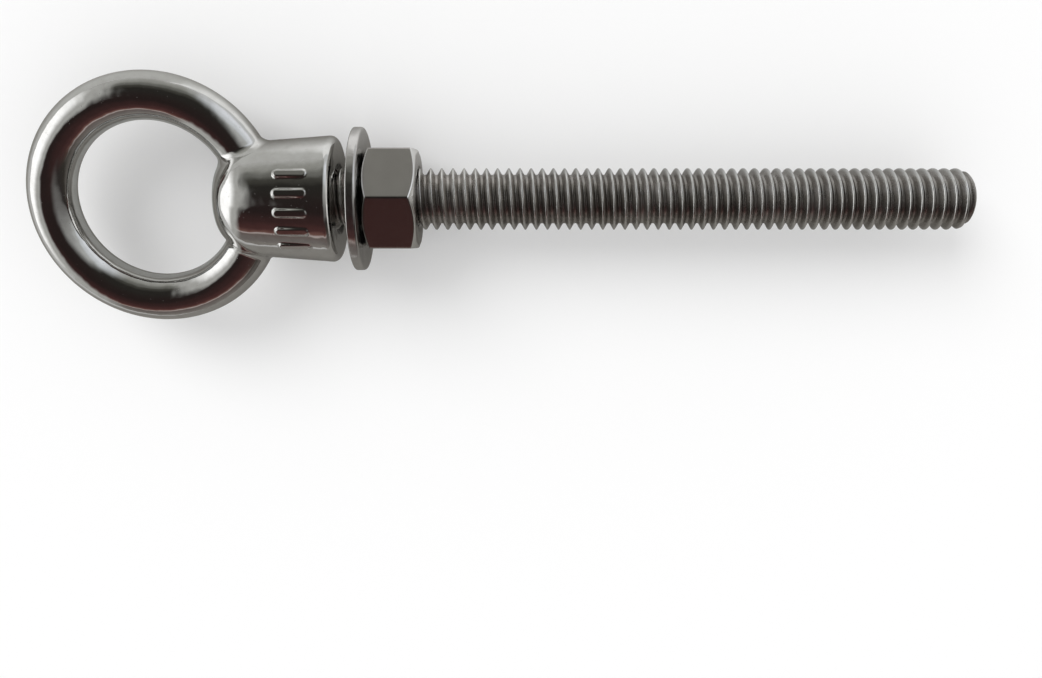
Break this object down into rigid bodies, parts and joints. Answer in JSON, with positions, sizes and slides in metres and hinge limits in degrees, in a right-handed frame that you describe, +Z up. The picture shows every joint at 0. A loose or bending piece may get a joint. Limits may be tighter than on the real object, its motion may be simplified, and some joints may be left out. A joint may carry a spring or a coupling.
{
  "type": "eye bolt",
  "caption": "Ring eye with a domed boss on a long fully threaded stud, with a loose flat washer and a hexagon nut for clamping it through a panel.",
  "frame": {"origin": "centre of the boss's flat bearing face, on the stud's axis", "axes": "+X along the stud from the eye to its tip, the ring lies in the XY plane, +Z up, square to the ring"},
  "size_m": [0.1194, 0.032, 0.018],
  "materials": {
    "polished_steel": "mirror-polished stainless steel",
    "thread_steel": "rolled thread in bright stainless steel",
    "washer_steel": "stamped and tumbled stainless steel",
    "nut_steel": "satin stainless steel with turned chamfers"
  },
  "bodies": {
    "bolt": {"eye": "polished_steel", "stud": "thread_steel"},
    "washer": {"washer": "washer_steel"},
    "nut": {"nut": "nut_steel"}
  },
  "joints": [
    {"name": "washer_slide", "type": "slide", "parent": "bolt", "child": "washer", "axis": [1, 0, 0], "range_m": [-0.002, 0.0679]},
    {"name": "nut_spin", "type": "hinge", "parent": "washer", "child": "nut", "pos_m": [0.00678, 0, 0], "axis": [1, 0, 0], "range_deg": [-511, 17325]}
  ],
  "couplings": [
    {"joint": "nut_spin", "follows": "washer_slide", "rad_per_m": 4452.7}
  ]
}
